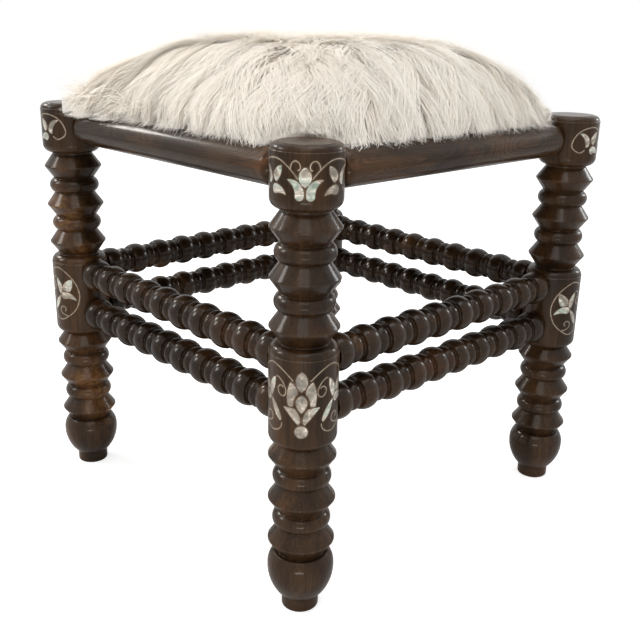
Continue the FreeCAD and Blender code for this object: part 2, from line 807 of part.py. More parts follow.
def make_pad(name, inset, slab_half_width, slab_bottom, notch_radius, notch_top):
    """A crowned pad over a square slab, notched round the caps."""
    base = "( seat_base + %s )" % inset
    crown = "( seat_base + cover_crown - %s )" % inset
    form = make_padded_form(name + "_form", base, crown, "cover_half_width - %s" % inset)
    slab = square_slab(name + "_slab", slab_half_width, slab_bottom, base + " + cover_wall")
    notches = cap_clearances(name + "_notch", notch_radius, "cap_bottom", notch_top)
    return cut(name, fuse(name + "_whole", [form, slab]), notches)


def make_cleat(screws):
    """A batten against the flat of a rail, drilled for its screws."""
    blank = box("cleat_blank", "cleat_length", "cleat_depth", "cleat_height",
                "0 - cleat_length / 2", "rail_flat", "cleat_bottom")
    return cut("cleat_master", blank, screws)


def make_board(screws, staples):
    """The plywood board, notched round the caps."""
    blank = square_slab("board_blank", "board_half_width", "board_bottom", "board_top")
    notches = cap_clearances("board_notch", BOARD_NOTCH, "cap_bottom", "cap_top")
    drilled = cut("board_drilled", cut("board_notched", blank, notches), screws)
    return cut("board", drilled, staples)


def make_foam():
    """The foam on the board, inside the cover."""
    return make_pad("foam", "( cover_wall + soft_gap )", "board_half_width", "board_top + soft_gap",
                    BOARD_NOTCH, "cap_top + cap_top_gap + cover_wall + soft_gap")


def rail_clearances():
    """The room that the cover leaves round each rail."""
    pieces = []
    for side, turn in SIDES:
        x, y = turned("0 - rail_length / 2", "0 - leg_offset", turn)
        pieces.append(cylinder("rail_clearance_" + side, "rail_radius + soft_gap", "rail_length",
                               x, y, "rail_height", lying(turn)))
    return pieces


def screw_rooms():
    """The room that the cover's turned-in edge leaves round the board's screws."""
    pieces = []
    for side, turn in SIDES:
        for index, share in enumerate(SEAT_SCREW_PLACES):
            x, y = turned("seat_screw_spacing * %s" % share,
                          "0 - leg_offset + rail_flat + cleat_depth / 2", turn)
            pieces.append(cylinder("screw_room_%s_%d" % (side, index),
                                   "screw_shank_radius + soft_gap", "board_bottom - cleat_top",
                                   x, y, "cleat_top"))
    return group("screw_rooms", pieces)


def make_cover(staple_rooms):
    """The cover: a crowned shell over the foam, a skirt round the board and a turned-in edge."""
    outside = make_pad("cover", "0", "skirt_half_width", "skirt_bottom", COVER_NOTCH,
                       "cap_top + cap_top_gap")
    room = make_pad("cover_room", "cover_wall", "board_half_width + soft_gap",
                    "board_bottom - soft_gap", COVER_NOTCH + " + cover_backing",
                    "cap_top + cap_top_gap + cover_wall")
    opening = square_slab("cover_opening", "opening_half_width", "skirt_bottom - cover_backing",
                          "board_bottom")
    cover = cut("cover_opened", cut("cover_shell", outside, room), opening)
    for clearance in rail_clearances():
        cover = cut(clearance.Name + "_cut", cover, clearance)
    pierced = cut("cover_pierced", cover, screw_rooms())
    return cut("cover_stapled", pierced, staple_rooms)


def make_dust_cover(staple_rooms):
    blank = square_slab("dust_sheet", "dust_cover_half_width", "dust_cover_bottom",
                        "dust_cover_top")
    return cut("dust_sheet_stapled", blank, staple_rooms)


# Placed pieces

def publish(piece, node):
    """Name a finished piece of the stool."""
    piece.Label = node
    finished[node] = piece
    return piece


def place_legs():
    leg, cap_inlay, block_inlay = make_leg()
    drawn = (
        ("leg", leg),
        ("cap_petals", cap_inlay[0]),
        ("cap_wires", cap_inlay[1]),
        ("block_petals", block_inlay[0]),
        ("block_wires", block_inlay[1]),
    )
    for corner, turn in CORNERS:
        for name, piece in drawn:
            publish(at_corner(piece, "%s_at_%s" % (name, corner), turn), name + "_" + corner)


def place_screws(name, screw_row):
    """One row of screws on each side."""
    rows = [at_side(screw_row, "%s_at_%s" % (name, side), turn) for side, turn in SIDES]
    return publish(group("all_" + name, rows), name)


def place_sides():
    """The rails, stretchers and cleats, and all their screws. The board's screws are returned."""
    into_rail = Rotation(Vector(1, 0, 0), -90)
    into_board = Rotation(Vector(1, 0, 0), 180)
    cleat_screws = row(make_screw("cleat_screw", "cleat_screw_length"), "cleat_screw_row",
                       CLEAT_SCREW_PLACES, "cleat_screw_spacing", "rail_flat + cleat_depth",
                       "( cleat_bottom + cleat_top ) / 2", into_rail)
    seat_screws = row(make_screw("seat_screw", "seat_screw_length"), "seat_screw_row",
                      SEAT_SCREW_PLACES, "seat_screw_spacing", "rail_flat + cleat_depth / 2",
                      "cleat_bottom", into_board)
    rail = make_rail(cleat_screws)
    stretcher = make_stretcher()
    cleat = make_cleat(group("cleat_tools", [cleat_screws, seat_screws]))
    for side, turn in SIDES:
        publish(at_side(rail, "rail_at_" + side, turn, "rail_height"), "rail_" + side)
        publish(at_side(stretcher, "high_stretcher_at_" + side, turn, "stretcher_high"),
                "stretcher_" + side + "_upper")
        publish(at_side(stretcher, "low_stretcher_at_" + side, turn, "stretcher_low"),
                "stretcher_" + side + "_lower")
        publish(at_side(cleat, "cleat_at_" + side, turn), "cleat_" + side)
    place_screws("cleat_screws", cleat_screws)
    return place_screws("seat_screws", seat_screws)


def staple_rows(name, grow):
    """The cover's and the dust cover's staples on every side, or the room for them."""
    staple = make_staple(name, grow)
    lines = (
        ("cover", STAPLE_PLACES, "leg_offset - skirt_half_width + staple_inset", "skirt_bottom"),
        ("dust", DUST_STAPLE_PLACES, "leg_offset - dust_cover_half_width + dust_staple_inset",
         "dust_cover_bottom"),
    )
    rows = []
    for line, places, inset, height in lines:
        drawn = row(staple, "%s_%s_row" % (line, name), places, "staple_pitch", inset, height,
                    Rotation())
        for side, turn in SIDES:
            rows.append(at_side(drawn, "%s_%s_at_%s" % (line, name, side), turn))
    return group("all_%ss" % name, rows)


def place_seat(seat_screws):
    staples = publish(staple_rows("staple", "0"), "staples")
    rooms = staple_rows("staple_room", "soft_gap")
    publish(make_board(seat_screws, staples), "seat_board")
    publish(make_foam(), "foam_pad")
    publish(make_cover(rooms), "fur_cover")
    publish(make_dust_cover(rooms), "dust_cover")


finished = {}
place_legs()
place_seat(place_sides())

# Checks and export

doc.recompute()
for thing in doc.Objects:
    if "Invalid" in thing.State or "Error" in thing.State:
        raise RuntimeError(thing.Name + " doesn't compute")
os.makedirs("parts", exist_ok=True)
for node, piece in finished.items():
    shape = piece.Shape
    if shape.isNull() or not shape.isValid() or not shape.Solids:
        raise RuntimeError(node + " has no valid solid")
    shape.exportStep("parts/" + node + ".step")
    print(node, len(shape.Solids), round(shape.Volume, 1))
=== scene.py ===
# %% [markdown]
# A Moroccan stool. Its turned frame of dark lacquered wood carries a square seat in long white
# fur, and its four legs are inlaid with pearl and wire. The turned pieces come from the packed
# model, and this lesson gives them their finishes, then makes the fur.

# %% Load the frame
import math
import bpy
import bmesh
import numpy
from mathutils import Matrix, Vector


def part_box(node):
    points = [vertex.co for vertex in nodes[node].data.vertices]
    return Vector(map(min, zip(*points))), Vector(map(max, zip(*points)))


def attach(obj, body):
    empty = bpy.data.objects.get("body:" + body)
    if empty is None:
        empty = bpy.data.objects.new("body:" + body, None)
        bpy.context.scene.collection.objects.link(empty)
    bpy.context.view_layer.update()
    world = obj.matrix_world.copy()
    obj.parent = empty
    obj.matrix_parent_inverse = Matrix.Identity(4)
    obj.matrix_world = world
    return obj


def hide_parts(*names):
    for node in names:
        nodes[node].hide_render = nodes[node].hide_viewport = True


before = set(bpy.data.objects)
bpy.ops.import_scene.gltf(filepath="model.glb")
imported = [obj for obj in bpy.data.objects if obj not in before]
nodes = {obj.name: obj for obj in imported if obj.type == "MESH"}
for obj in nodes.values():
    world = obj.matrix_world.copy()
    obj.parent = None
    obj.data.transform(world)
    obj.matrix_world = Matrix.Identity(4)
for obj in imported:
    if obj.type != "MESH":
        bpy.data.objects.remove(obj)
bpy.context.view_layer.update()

# %% [markdown]
# A material here is a small tree of shader nodes. A few helpers keep each tree short. They start a
# material, fill one input of a node, add a node with its settings, map a value onto colours, and
# mix two colours.

# %% Helpers for materials
def new_material(name):
    """A material, its node tree, and its Principled shader."""
    material = bpy.data.materials.new(name)
    material.use_nodes = True
    return material, material.node_tree, material.node_tree.nodes["Principled BSDF"]


def plug(node, index, value):
    """Link a socket to an input, by its name or number, or set a plain value there."""
    if isinstance(value, bpy.types.NodeSocket):
        node.id_data.links.new(value, node.inputs[index])
    else:
        node.inputs[index].default_value = value


def add(tree, kind, links=None, **values):
    """A node of that kind. links goes from input name or number to an output socket, and each
    other value is set on the input or the property of that name."""
    node = tree.nodes.new("ShaderNode" + kind)
    for key, value in values.items():
        if hasattr(node, key):
            setattr(node, key, value)
        else:
            node.inputs[key.replace("_", " ")].default_value = value
    for key, socket in (links or {}).items():
        plug(node, key, socket)
    return node


def ramp(tree, factor, stops):
    """Colours, or greys, along a value. Each stop is (place, colour)."""
    node = tree.nodes.new("ShaderNodeValToRGB")
    plug(node, "Fac", factor)
    elements = node.color_ramp.elements
    while len(elements) < len(stops):
        elements.new(0.5)
    for element, (place, colour) in zip(elements, stops):
        element.position = place
        shade = colour if isinstance(colour, tuple) else (colour, colour, colour)
        element.color = shade + (1.0,)
    return node.outputs["Color"]


def mixed(tree, first, second, factor, blend="MIX"):
    """Two colours mixed by a number or by a socket. A Mix node's colours are sockets 6 and 7."""
    node = add(tree, "Mix", {6: first, 7: second}, data_type="RGBA", blend_type=blend)
    plug(node, 0, factor)
    return node.outputs[2]


def stretched_noise(tree, scale, detail, roughness=0.55, distortion=0.0):
    """Noise in the object's own place, with a scale for each axis."""
    place = add(tree, "TexCoord").outputs["Object"]
    mapping = add(tree, "Mapping", {"Vector": place}, Scale=scale)
    noise = add(tree, "TexNoise", {"Vector": mapping.outputs["Vector"]}, Scale=1.0,
                Detail=detail, Roughness=roughness, Distortion=distortion)
    return noise.outputs["Fac"]


def bump(tree, shader, height, strength, distance):
    """Make the surface uneven by a height, without moving it."""
    node = add(tree, "Bump", {"Height": height}, Strength=strength, Distance=distance)
    plug(shader, "Normal", node.outputs["Normal"])


def finish_nodes(material, names):
    """Give CAD nodes their material."""
    for name in names:
        mesh = nodes[name].data
        mesh.materials.clear()
        mesh.materials.append(material)


print("material helpers ready")

# %% [markdown]
# The wood is dark, close-grained and lacquered. Its grain runs along each turned piece, so the
# same tree of nodes is made once for each direction, with noise that is drawn out along it. Fine
# fibres, growth lines, a slow change from black-brown to red-brown, and paler figured patches lie
# under a clear coat that is a little uneven, as brushed lacquer is. The growth lines are the
# sine of a slow noise, so that they bend and close as sawn rings do. Hands have rounded the sharp
# rings of the turning: one node lets the light see them rounded. Another finds their edges as the
# places where the wood is thin, and paints them paler, partly as rubbed wear and partly as a
# painted highlight.

# %% Turned wood
WOOD_BLACK = (0.012, 0.006, 0.0025)
WOOD_DARK = (0.03, 0.0145, 0.006)
WOOD_BROWN = (0.056, 0.027, 0.011)
WOOD_RED = (0.1, 0.036, 0.013)
WOOD_GOLD = (0.26, 0.13, 0.045)
# Rubbed edges, painted paler as wear and as a painted highlight: their colour, the radius that
# light sees, how thin the wood is, how much shows
EDGE_PALE_WEAR_HIGHLIGHT = (0.4, 0.29, 0.19)
EDGE_RADIUS = 0.0014
EDGE_THICKNESS = 0.0025
EDGE_WEAR_HIGHLIGHT_SHARE = 0.4
# How far the sine of the growth lines turns, in radians, from one end of its noise to the other
RING_TURN = 170.0
# How much of the fibres and of the figure shows, and how much brighter the stain gets in patches
GRAIN_SHARE = 0.85
FIGURE_SHARE = 0.55
PATCH_GAIN = 1.15
# Unevenness of the wood and of the coat over it
PORE_BUMP = 0.25
LACQUER_BUMP = 0.12
WOOD_BUMP_DEPTH = 0.0003


def along(axis, across, length):
    """Noise scales: the same across the grain on two axes, and another along it."""
    return tuple(length if index == axis else across for index in range(3))


def turned_wood(name, axis, ring_strength, brightness, coat):
    """Lacquered wood with its grain along one axis."""
    material, tree, shader = new_material(name)
    broad = stretched_noise(tree, along(axis, 26.0, 7.0), 4.0, distortion=0.6)
    fine = stretched_noise(tree, along(axis, 300.0, 9.0), 6.0, roughness=0.7, distortion=0.4)
    pores = stretched_noise(tree, along(axis, 900.0, 40.0), 2.0)
    figure = stretched_noise(tree, (55.0, 55.0, 80.0), 3.0, distortion=1.6)
    patch = stretched_noise(tree, (9.0, 9.0, 11.0), 2.0)
    growth = stretched_noise(tree, along(axis, 24.0, 7.0), 1.0, distortion=0.8)
    wave = add(tree, "MapRange", {"Value": growth}, To_Max=RING_TURN)
    rings = add(tree, "Math", {0: wave.outputs[0]}, operation="SINE")
    lines = add(tree, "MapRange", {"Value": rings.outputs[0]}, From_Min=-1.0)
    base = ramp(tree, broad, ((0.3, WOOD_BLACK), (0.45, WOOD_DARK), (0.6, WOOD_BROWN),
                              (0.78, WOOD_RED)))
    grain = ramp(tree, fine, ((0.3, 0.45), (0.5, 0.95), (0.72, 1.5)))
    ringed = ramp(tree, lines.outputs[0], ((0.2, 0.6), (0.6, 1.15)))
    grained = mixed(tree, base, grain, GRAIN_SHARE, "MULTIPLY")
    streaked = mixed(tree, grained, ringed, ring_strength, "MULTIPLY")
    flame = ramp(tree, figure, ((0.42, WOOD_RED), (0.62, WOOD_GOLD)))
    spread = ramp(tree, patch, ((0.62, 0.0), (0.74, FIGURE_SHARE)))
    figured = mixed(tree, streaked, flame, spread)
    # Random patches of stain, times each piece's brightness, which on the stretchers is painted
    # shade
    stain_and_shade = ramp(tree, patch, ((0.4, brightness), (0.6, brightness * PATCH_GAIN)))
    stained_and_shaded = mixed(tree, figured, stain_and_shade, 1.0, "MULTIPLY")

    rounded = add(tree, "Bevel", Radius=EDGE_RADIUS, samples=6).outputs["Normal"]
    thinness = add(tree, "AmbientOcclusion", Distance=EDGE_THICKNESS, samples=8, inside=True,
                   only_local=True).outputs["AO"]
    # Thin edges are painted paler: partly rubbed wear, partly a painted highlight along each ring
    rubbed_and_highlight = ramp(tree, thinness, ((0.6, EDGE_WEAR_HIGHLIGHT_SHARE), (0.84, 0.0)))
    edge_wear_highlight = ramp(tree, fine, ((0.3, WOOD_RED), (0.7, EDGE_PALE_WEAR_HIGHLIGHT)))
    plug(shader, "Base Color", mixed(tree, stained_and_shaded, edge_wear_highlight, rubbed_and_highlight))
    plug(shader, "Roughness", ramp(tree, fine, ((0.3, 0.42), (0.7, 0.27))))
    plug(shader, "Specular IOR Level", 0.08)
    plug(shader, "Specular Tint", (1.0, 0.86, 0.7, 1.0))
    plug(shader, "Coat Weight", coat)
    plug(shader, "Coat Roughness", ramp(tree, fine, ((0.35, 0.07), (0.65, 0.16))))
    open_pores = ramp(tree, pores, ((0.28, 0.0), (0.42, 1.0)))
    for surface, height, strength in (("Normal", open_pores, PORE_BUMP),
                                      ("Coat Normal", fine, LACQUER_BUMP)):
        uneven = add(tree, "Bump", {"Height": height, "Normal": rounded}, Strength=strength,
                     Distance=WOOD_BUMP_DEPTH)
        plug(shader, surface, uneven.outputs["Normal"])
    return material


print("wood colours from", WOOD_BLACK, "to", WOOD_GOLD)

# %% Finish the turned pieces
UPRIGHT, LENGTHWISE, CROSSWISE = 2, 0, 1
# For each kind of piece: how strong its growth lines are, how bright it is, how much coat. The
# stretchers are made darker than the legs and rails, as painted shade
LEG_FINISH = (0.25, 0.85, 0.28)
RAIL_FINISH = (0.75, 0.9, 0.25)
STRETCHER_SHADED_FINISH = (0.3, 0.5, 0.35)
corners = ("front_right", "back_right", "back_left", "front_left")
side_axes = {"front": LENGTHWISE, "back": LENGTHWISE, "right": CROSSWISE, "left": CROSSWISE}

finish_nodes(turned_wood("leg_wood", UPRIGHT, *LEG_FINISH),
             ["leg_" + corner for corner in corners])
for axis, letter in ((LENGTHWISE, "x"), (CROSSWISE, "y")):
    sides = [side for side, side_axis in side_axes.items() if side_axis == axis]
    finish_nodes(turned_wood("rail_wood_" + letter, axis, *RAIL_FINISH),
                 ["rail_" + side for side in sides])
    # The stretchers get a darker copy of the same wood, as painted shade
    finish_nodes(turned_wood("stretcher_wood_shaded_" + letter, axis, *STRETCHER_SHADED_FINISH),
                 ["stretcher_%s_%s" % (side, level)
                  for side in sides for level in ("upper", "lower")])
print("turned pieces finished")

# %% [markdown]
# Mother-of-pearl is layered shell. It is pale, with soft pink, grey and green clouds, and bands
# of light that follow its layers. One noise chooses the clouds and another draws the bands. The
# clear coat gives the polish. The wire is a soft white metal, dulled by handling.

# %% Pearl and wire
PEARL_WARM = (0.36, 0.3, 0.23)
PEARL_PALE = (0.6, 0.54, 0.46)
PEARL_GREEN = (0.34, 0.42, 0.34)
PEARL_PINK = (0.4, 0.3, 0.25)
PEARL_GREY = (0.2, 0.175, 0.14)
WIRE_METAL = (0.42, 0.36, 0.28)
WIRE_TARNISH = (0.22, 0.18, 0.13)


def pearl():
    """Polished shell, in clouds of colour crossed by bands of light."""
    material, tree, shader = new_material("pearl")
    cloud = stretched_noise(tree, (55.0, 55.0, 55.0), 2.0, distortion=0.6)
    layers = stretched_noise(tree, (90.0, 90.0, 260.0), 2.0, distortion=1.6)
    tint = ramp(tree, cloud, ((0.34, PEARL_GREY), (0.44, PEARL_WARM), (0.52, PEARL_PALE),
                              (0.6, PEARL_GREEN), (0.68, PEARL_PINK)))
    sheen = ramp(tree, layers, ((0.36, 0.6), (0.52, 0.95), (0.6, 1.3), (0.68, 1.7)))
    plug(shader, "Base Color", mixed(tree, tint, sheen, 0.8, "MULTIPLY"))
    plug(shader, "Roughness", ramp(tree, layers, ((0.3, 0.38), (0.7, 0.16))))
    plug(shader, "Coat Weight", 0.6)
    plug(shader, "Coat Roughness", 0.08)
    bump(tree, shader, layers, 0.12, 0.0004)
    return material


def inlay_wire():
    """Soft white metal, tarnished in spots."""
    material, tree, shader = new_material("inlay_wire")
    wear = stretched_noise(tree, (300.0, 300.0, 300.0), 4.0)
    plug(shader, "Base Color", ramp(tree, wear, ((0.3, WIRE_TARNISH), (0.6, WIRE_METAL))))
    plug(shader, "Roughness", ramp(tree, wear, ((0.3, 0.55), (0.7, 0.34))))
    plug(shader, "Metallic", 0.55)
    return material


finish_nodes(pearl(), [part + corner for part in ("cap_petals_", "block_petals_")
                       for corner in corners])
finish_nodes(inlay_wire(), [part + corner for part in ("cap_wires_", "block_wires_")
                            for corner in corners])
print("inlay finished")

# %% [markdown]
# The parts under the seat are seen only from below. The battens are planed softwood, the board
# is plywood with its layers showing at the edge, and the screws and staples are zinc plated.

# %% Woods and metal under the seat
def planed_wood():
    """Bare softwood, for the battens."""
    material, tree, shader = new_material("planed_softwood")
    rings = stretched_noise(tree, (30.0, 30.0, 160.0), 3.0, distortion=1.2)
    fibre = stretched_noise(tree, (240.0, 240.0, 240.0), 5.0)
    tone = ramp(tree, rings, ((0.35, (0.36, 0.22, 0.1)), (0.6, (0.56, 0.39, 0.21))))
    grain = ramp(tree, fibre, ((0.3, 0.78), (0.7, 1.12)))
    plug(shader, "Base Color", mixed(tree, tone, grain, 0.8, "MULTIPLY"))
    plug(shader, "Roughness", 0.62)
    bump(tree, shader, fibre, 0.2, 0.0003)
    return material


def plywood():
    """Bare plywood, whose layers are waves up its thickness."""
    material, tree, shader = new_material("plywood")
    place = add(tree, "TexCoord").outputs["Object"]
    layer = add(tree, "TexWave", {"Vector": place}, bands_direction="Z", Scale=80.0,
                Distortion=0.6, Detail=2.0)
    fibre = stretched_noise(tree, (18.0, 260.0, 60.0), 4.0)
    tone = ramp(tree, fibre, ((0.3, (0.42, 0.28, 0.14)), (0.7, (0.6, 0.45, 0.27))))
    ply = ramp(tree, layer.outputs["Fac"], ((0.25, 0.62), (0.5, 1.05)))
    plug(shader, "Base Color", mixed(tree, tone, ply, 0.7, "MULTIPLY"))
    plug(shader, "Roughness", 0.7)
    bump(tree, shader, fibre, 0.15, 0.0003)
    return material


def zinc():
    """Zinc plate with a faint bloom, for the screws and staples."""
    material, tree, shader = new_material("zinc_plate")
    bloom = stretched_noise(tree, (500.0, 500.0, 500.0), 3.0)
    grey = ramp(tree, bloom, ((0.3, (0.4, 0.4, 0.41)), (0.7, (0.62, 0.62, 0.62))))
    plug(shader, "Base Color", grey)
    plug(shader, "Roughness", ramp(tree, bloom, ((0.3, 0.45), (0.7, 0.28))))
    plug(shader, "Metallic", 1.0)
    return material


finish_nodes(planed_wood(), ["cleat_" + side for side in side_axes])
finish_nodes(plywood(), ["seat_board"])
finish_nodes(zinc(), ["cleat_screws", "seat_screws", "staples"])
print("hidden parts finished")

# %% [markdown]
# The seat is a foam pad in a long-haired cover. Its body is made first, as rounded squares
# stacked from the rails up to the crown, and a short cloth simulation under pressure then plumps
# it, so that its top swells and its sides pull in between the corners as a stuffed form does.

# %% Sizes of the seat, read from the frame
rail_low, rail_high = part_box("rail_front")
cover_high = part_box("fur_cover")[1]
board_low, board_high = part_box("seat_board")
leg_low, leg_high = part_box("leg_front_right")
RAIL_RADIUS = (rail_high.z - rail_low.z) / 2
RAIL_LINE = -(rail_low.y + rail_high.y) / 2
RAIL_HEIGHT = (rail_high.z + rail_low.z) / 2
CAP_RADIUS = (leg_high.x - leg_low.x) / 2
CAP_LINE = (leg_high.x + leg_low.x) / 2
CAP_TOP = leg_high.z
CAP_CENTRES = [numpy.array((x_sign, y_sign)) * CAP_LINE for x_sign in (-1, 1) for y_sign in (-1, 1)]
BOARD_HALF = board_high.x
BOARD_GAP = 0.0003
PAD_HALF = cover_high.x
PAD_ABOVE_RAILS = 0.001
PAD_BASE = RAIL_HEIGHT + RAIL_RADIUS + PAD_ABOVE_RAILS
PAD_TOP = cover_high.z
print("pad half width", round(PAD_HALF, 4), "from", round(PAD_BASE, 4), "to", round(PAD_TOP, 4))

# %% The pad's first form
# Sections of the pad: share of its height, share of its half width, share that is rounding
PAD_SHARES = (
    (0.0, 0.93, 0.4), (0.1, 0.975, 0.4), (0.22, 0.985, 0.4), (0.38, 0.95, 0.41),
    (0.55, 0.89, 0.42), (0.71, 0.8, 0.44), (0.85, 0.68, 0.47), (0.93, 0.53, 0.52),
    (0.97, 0.3, 0.6),
)
PAD_FOOT_ROUNDING = 0.4
ROUNDING_STEPS = 10
SIDE_STEPS = 12


def rounded_square(half, corner, height):
    """Points of a square with round corners, a quarter at a time."""
    points = []
    reach = half - corner
    angles = [step * math.pi / 2 / ROUNDING_STEPS for step in range(ROUNDING_STEPS)]
    for quarter in range(4):
        turn = quarter * math.pi / 2
        side = [Vector((half, -reach + 2 * reach * step / SIDE_STEPS, height))
                for step in range(SIDE_STEPS)]
        bend = [Vector((reach + corner * math.cos(angle), reach + corner * math.sin(angle), height))
                for angle in angles]
        points += [Matrix.Rotation(turn, 3, "Z") @ point for point in side + bend]
    return points


def in_scene(name, data):
    """An object of that name, linked into the scene."""
    thing = bpy.data.objects.new(name, data)
    bpy.context.scene.collection.objects.link(thing)
    return thing


def through_rings(name, sections, flat_ends):
    """A closed mesh through rings of points. It has a flat face at each end, or it is a band
    whose last ring joins its first."""
    mesh = bmesh.new()
    rings = [[mesh.verts.new(point) for point in section] for section in sections]
    count = len(rings[0])
    following = rings[1:] if flat_ends else rings[1:] + rings[:1]
    for lower, upper in zip(rings, following):
        for index in range(count):
            after = (index + 1) % count
            mesh.faces.new((lower[index], lower[after], upper[after], upper[index]))
    if flat_ends:
        mesh.faces.new(list(reversed(rings[0])))
        mesh.faces.new(rings[-1])
    else:
        bmesh.ops.recalc_face_normals(mesh, faces=mesh.faces)
    made = bpy.data.meshes.new(name)
    mesh.to_mesh(made)
    mesh.free()
    return in_scene(name, made)


sections = [rounded_square(BOARD_HALF, BOARD_HALF * PAD_FOOT_ROUNDING, board_high.z + BOARD_GAP)]
for height_share, width_share, round_share in PAD_SHARES:
    height = PAD_BASE + (PAD_TOP - PAD_BASE) * height_share
    half = PAD_HALF * width_share
    sections.append(rounded_square(half, half * round_share, height))
pad = through_rings("seat_pad", sections, flat_ends=True)
print("pad form", len(pad.data.vertices), "points")

# %% Helpers that apply a modifier and keep points clear of the wood
# Keeps a division by a distance away from zero
LEAST_REACH = 0.001


def baked(thing, name):
    """The thing as its modifiers leave it, as a plain object of that name."""
    graph = bpy.context.evaluated_depsgraph_get()
    mesh = bpy.data.meshes.new_from_object(thing.evaluated_get(graph))
    old_mesh = thing.data
    bpy.data.objects.remove(thing)
    bpy.data.meshes.remove(old_mesh)
    mesh.name = name
    return in_scene(name, mesh)


def points_of(thing):
    """The points of a mesh as an array with a row for each."""
    flat = numpy.zeros(len(thing.data.vertices) * 3)
    thing.data.vertices.foreach_get("co", flat)
    return flat.reshape(-1, 3)


def set_points(thing, points):
    """Put the points of a mesh where the rows of the array say."""
    thing.data.vertices.foreach_set("co", points.ravel())
    thing.data.update()


def smooth(thing):
    """Shade a mesh as one smooth surface."""
    thing.data.polygons.foreach_set("use_smooth", [True] * len(thing.data.polygons))


def clear_of_rails(points, gap):
    """Move points that are inside a rail straight out to its surface."""
    for axis, other in ((0, 1), (1, 0)):
        for sign in (-1, 1):
            across = points[:, other] - sign * RAIL_LINE
            up = points[:, 2] - RAIL_HEIGHT
            reach = numpy.hypot(across, up)
            inside = (reach < RAIL_RADIUS + gap) & (numpy.abs(points[:, axis]) < CAP_LINE)
            grow = (RAIL_RADIUS + gap) / numpy.maximum(reach[inside], LEAST_REACH)
            points[inside, other] = sign * RAIL_LINE + across[inside] * grow
            points[inside, 2] = RAIL_HEIGHT + up[inside] * grow
    return points


def clear_of_caps(points, gap, headroom):
    """Move points that are inside a cap, or less than the headroom above it, away from it."""
    for centre in CAP_CENTRES:
        away = points[:, :2] - centre
        reach = numpy.hypot(away[:, 0], away[:, 1])
        inside = (reach < CAP_RADIUS + gap) & (points[:, 2] < CAP_TOP + headroom)
        grow = (CAP_RADIUS + gap) / numpy.maximum(reach[inside], LEAST_REACH)
        points[inside, :2] = centre + away[inside] * grow[:, None]
    return points


print("helpers ready")

# %% Plump the pad
PAD_VOXEL = 0.006
PAD_PRESSURE = 4.0
PAD_FRAMES = 20
PAD_SWELL = 0.003
LEAST_MOVE = 1e-9
# How far the pad stays from the rails and the caps, and how high a cap's room reaches over it
PAD_RAIL_GAP = 0.0008
PAD_CAP_GAP = 0.0014
PAD_HEADROOM = 0.02


def remeshed(thing, voxel):
    """The form in even small squares, which cloth needs."""
    remesh = thing.modifiers.new("remesh", "REMESH")
    remesh.mode = "VOXEL"
    remesh.voxel_size = voxel
    return baked(thing, thing.name)


def plumped(thing):
    """Swell a closed form as a pressed cloth bag, holding its underside."""
    start = points_of(thing)
    held = thing.vertex_groups.new(name="held")
    low = [index for index, point in enumerate(start) if point[2] < PAD_BASE + PAD_VOXEL]
    held.add(low, 1.0, "REPLACE")
    cloth = thing.modifiers.new("cloth", "CLOTH")
    cloth.settings.use_pressure = True
    cloth.settings.uniform_pressure_force = PAD_PRESSURE
    cloth.settings.effector_weights.gravity = 0.0
    cloth.settings.vertex_group_mass = "held"
    scene = bpy.context.scene
    for step in range(1, PAD_FRAMES + 1):
        scene.frame_set(step)
    swollen = baked(thing, thing.name)
    scene.frame_set(1)
    moved = points_of(swollen) - start
    reach = numpy.linalg.norm(moved, axis=1, keepdims=True)
    capped = moved * numpy.minimum(1.0, PAD_SWELL / numpy.maximum(reach, LEAST_MOVE))
    set_points(swollen, start + capped)
    print("plumped by up to", round(float(reach.max()) * 1000, 1), "mm before the cap")
    return swollen


pad = remeshed(pad, PAD_VOXEL)
pad = plumped(pad)
pad.vertex_groups.clear()
cleared = clear_of_rails(points_of(pad), PAD_RAIL_GAP)
set_points(pad, clear_of_caps(cleared, PAD_CAP_GAP, PAD_HEADROOM))
smooth(pad)
print("pad has", len(pad.data.polygons), "faces")

# %% [markdown]
# The cover goes on round the board: a plain cloth skirt runs down inside the rails, turns in
# under the board and is stapled there. It is seen only from below, and is built as one closed
# shell that follows the board's edge.

# %% The cover's skirt and turn-in
CLOTH_THICK = 0.0016
TURN_IN = 0.034
SKIRT_CORNER = 0.03
# Rings along each straight of the cloth
SKIRT_PARTS = 4
skirt_in = BOARD_HALF + BOARD_GAP
skirt_out = BOARD_HALF + BOARD_GAP + CLOTH_THICK
hem_end = BOARD_HALF - TURN_IN
under_high = board_low.z - BOARD_GAP
under_low = board_low.z - BOARD_GAP - CLOTH_THICK
# Half widths and heights along the cloth: down inside, in under the board, and back outside
skirt_path = (
    (skirt_in, PAD_BASE), (skirt_in, under_high), (hem_end, under_high), (hem_end, under_low),
    (skirt_in, under_low), (skirt_out, under_high), (skirt_out, PAD_BASE),
)
skirt_rings = []
for start, end in zip(skirt_path, skirt_path[1:]):
    for part in range(SKIRT_PARTS):
        share = part / SKIRT_PARTS
        half, height = [(1 - share) * first + share * last for first, last in zip(start, end)]
        skirt_rings.append(rounded_square(half, SKIRT_CORNER, height))
skirt_rings.append(rounded_square(skirt_out, SKIRT_CORNER, PAD_BASE))

skirt = through_rings("cover_skirt", skirt_rings, flat_ends=False)
set_points(skirt, clear_of_caps(points_of(skirt), CLOTH_THICK, 0.0))
smooth(skirt)
print("skirt", len(skirt.data.polygons), "faces")

# %% [markdown]
# The fur is drawn as single strands: narrow ribbons that taper to a point. Their roots are
# scattered over the pad by Geometry Nodes, and one rule places every point of a strand. The
# strand sets out along the combed direction, which runs outwards from a whorl near the back
# left corner, down the sides, and more and more towards the front left corner, where the fur
# flops over the cap. Neighbouring strands lean to a shared tip, which gathers them in locks, and a
# slow noise bends the locks. Last, each point is lifted to its height over the pad, so that the
# strands lie over each other in layers and none goes through the pad.

